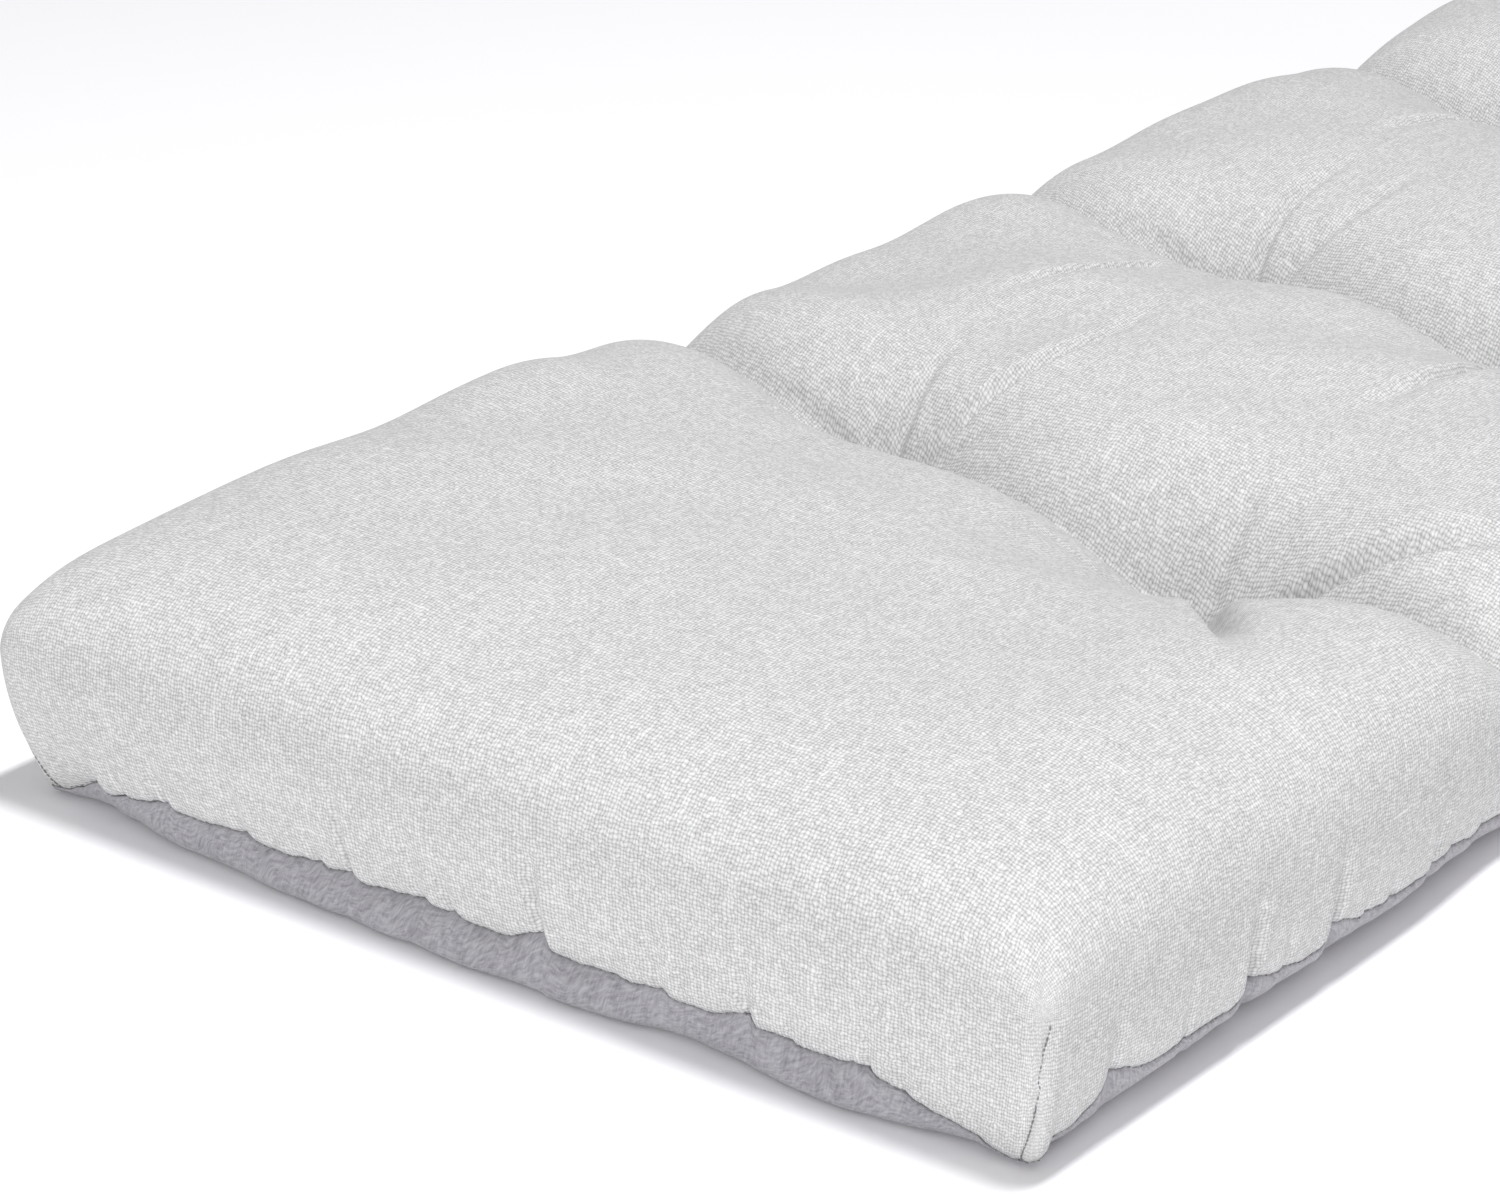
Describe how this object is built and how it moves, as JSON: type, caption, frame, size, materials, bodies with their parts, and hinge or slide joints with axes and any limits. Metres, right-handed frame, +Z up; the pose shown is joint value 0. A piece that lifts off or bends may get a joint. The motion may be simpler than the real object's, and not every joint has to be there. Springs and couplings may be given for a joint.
{
  "type": "bench cushion",
  "caption": "Long filled bench cushion with a tufted linen-look top that wraps down the sides to a grey base cloth.",
  "frame": {"origin": "centre of the underside, on the surface that the cushion lies on", "axes": "+X along the cushion away from the end nearest the camera, +Y across it, +Z up through the crown"},
  "size_m": [1.14, 0.45, 0.105],
  "materials": {
    "cover_cloth": "pale grey plain linen-look weave with slubs",
    "base_cloth": "lilac-grey brushed cloth with small dimples"
  },
  "bodies": {
    "root": {"cover": "cover_cloth", "base_panel": "base_cloth"}
  },
  "joints": []
}
